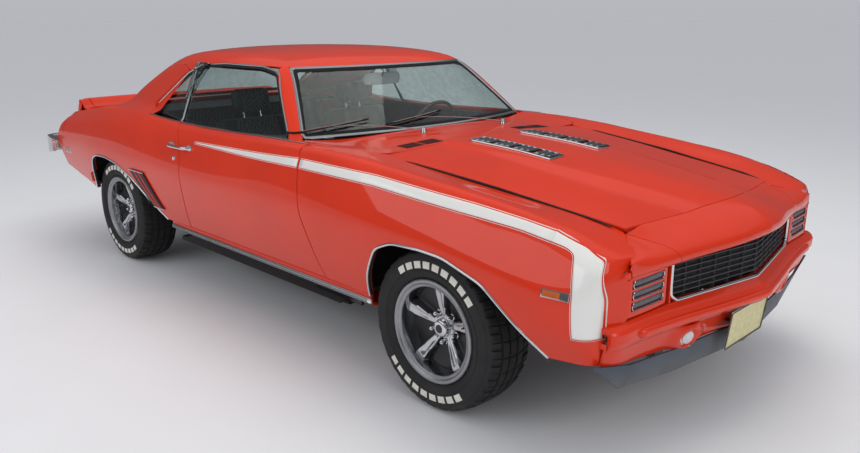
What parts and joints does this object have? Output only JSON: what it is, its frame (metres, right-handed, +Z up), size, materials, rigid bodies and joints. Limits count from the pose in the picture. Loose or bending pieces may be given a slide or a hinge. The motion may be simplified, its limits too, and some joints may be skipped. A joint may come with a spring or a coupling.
{
  "type": "two-door hardtop muscle car",
  "caption": "Two-door hardtop muscle car with opening doors, hood and deck lid, steering front wheels and a furnished cabin.",
  "frame": {"origin": "on the ground, below the centre of the car's bounding box", "axes": "+X forward, +Y to the car's left, +Z up"},
  "size_m": [4.683, 1.88, 1.322],
  "materials": {
    "body_paint": "gloss red-orange",
    "chrome": "polished",
    "black_paint": "satin black",
    "steel": "satin",
    "cast_iron": "rough",
    "black_plastic": "matte",
    "glass": "clear",
    "red_lens": "gloss",
    "plate_blank": "semi gloss",
    "vinyl": "satin grained",
    "wheel_metal": "bright with dark grey recesses",
    "tyre_rubber": "matte"
  },
  "bodies": {
    "body": {"air_dam": "black_plastic", "cowl_panel": "body_paint", "dashboard": "black_plastic", "deck_filler": "body_paint", "engine_block": "cast_iron", "exhaust": "steel", "firewall": "black_paint", "floor_pan": "black_paint", "front_bumper": "body_paint", "front_fender_left": "body_paint", "front_fender_right": "body_paint", "front_seat_left": "vinyl", "front_seat_right": "vinyl", "front_subframe": "black_paint", "front_valance": "body_paint", "fuel_tank": "black_paint", "grille": "black_plastic", "header_panel": "body_paint", "headlamp_covers": "body_paint", "inner_fender_left": "black_paint", "inner_fender_right": "black_paint", "number_plates": "plate_blank", "plate_stay": "black_paint", "quarter_glass": "glass", "quarter_panel_left": "body_paint", "quarter_panel_right": "body_paint", "radiator_support": "black_paint", "rear_axle": "steel", "rear_bumper": "chrome", "rear_seat": "vinyl", "rear_shelf": "black_plastic", "rear_wheelhouses": "black_paint", "rear_window": "glass", "rockers": "black_paint", "roof_panel": "body_paint", "tail_lamps": "red_lens", "tail_panel": "body_paint", "windshield": "glass"},
    "hood": {"hood": "body_paint"},
    "deck_lid": {"deck_lid": "body_paint"},
    "door_left": {"door_left": "body_paint", "door_glass_left": "glass"},
    "door_right": {"door_right": "body_paint", "door_glass_right": "glass"},
    "steering_wheel": {"steering_wheel": "black_plastic"},
    "knuckle_left": {"knuckle_left": "steel"},
    "knuckle_right": {"knuckle_right": "steel"},
    "wheel_front_left": {"rim_front_left": "wheel_metal", "tyre_front_left": "tyre_rubber"},
    "wheel_front_right": {"rim_front_right": "wheel_metal", "tyre_front_right": "tyre_rubber"},
    "wheel_rear_left": {"rim_rear_left": "wheel_metal", "tyre_rear_left": "tyre_rubber"},
    "wheel_rear_right": {"rim_rear_right": "wheel_metal", "tyre_rear_right": "tyre_rubber"}
  },
  "joints": [
    {"name": "hood_hinge", "type": "hinge", "parent": "body", "child": "hood", "pos_m": [1.0765, 0, 0.846], "axis": [0, -1, 0], "range_deg": [0, 48]},
    {"name": "deck_lid_hinge", "type": "hinge", "parent": "body", "child": "deck_lid", "pos_m": [-1.6715, 0, 0.868], "axis": [0, 1, 0], "range_deg": [0, 62]},
    {"name": "door_left_hinge", "type": "hinge", "parent": "body", "child": "door_left", "pos_m": [0.8365, 0.895, 0.64], "axis": [0, 0, -1], "range_deg": [0, 60]},
    {"name": "door_right_hinge", "type": "hinge", "parent": "body", "child": "door_right", "pos_m": [0.8365, -0.895, 0.64], "axis": [0, 0, 1], "range_deg": [0, 60]},
    {"name": "steer_left", "type": "hinge", "parent": "body", "child": "knuckle_left", "pos_m": [1.4365, 0.7, 0.321], "axis": [0, 0, 1], "range_deg": [-30, 30]},
    {"name": "steer_right", "type": "hinge", "parent": "body", "child": "knuckle_right", "pos_m": [1.4365, -0.7, 0.321], "axis": [0, 0, 1], "range_deg": [-30, 30]},
    {"name": "steering_wheel_turn", "type": "hinge", "parent": "body", "child": "steering_wheel", "pos_m": [0.1865, 0.37, 0.842], "axis": [-0.9272, 0, 0.3746], "range_deg": [-480, 480]},
    {"name": "wheel_front_left_spin", "type": "hinge", "parent": "knuckle_left", "child": "wheel_front_left", "pos_m": [1.4365, 0.765, 0.321], "axis": [0, 1, 0], "continuous": true},
    {"name": "wheel_front_right_spin", "type": "hinge", "parent": "knuckle_right", "child": "wheel_front_right", "pos_m": [1.4365, -0.765, 0.321], "axis": [0, 1, 0], "continuous": true},
    {"name": "wheel_rear_left_spin", "type": "hinge", "parent": "body", "child": "wheel_rear_left", "pos_m": [-1.3065, 0.757, 0.321], "axis": [0, 1, 0], "continuous": true},
    {"name": "wheel_rear_right_spin", "type": "hinge", "parent": "body", "child": "wheel_rear_right", "pos_m": [-1.3065, -0.757, 0.321], "axis": [0, 1, 0], "continuous": true}
  ],
  "couplings": [
    {"joint": "steer_right", "follows": "steer_left", "ratio": 1},
    {"joint": "steering_wheel_turn", "follows": "steer_left", "ratio": 16}
  ]
}
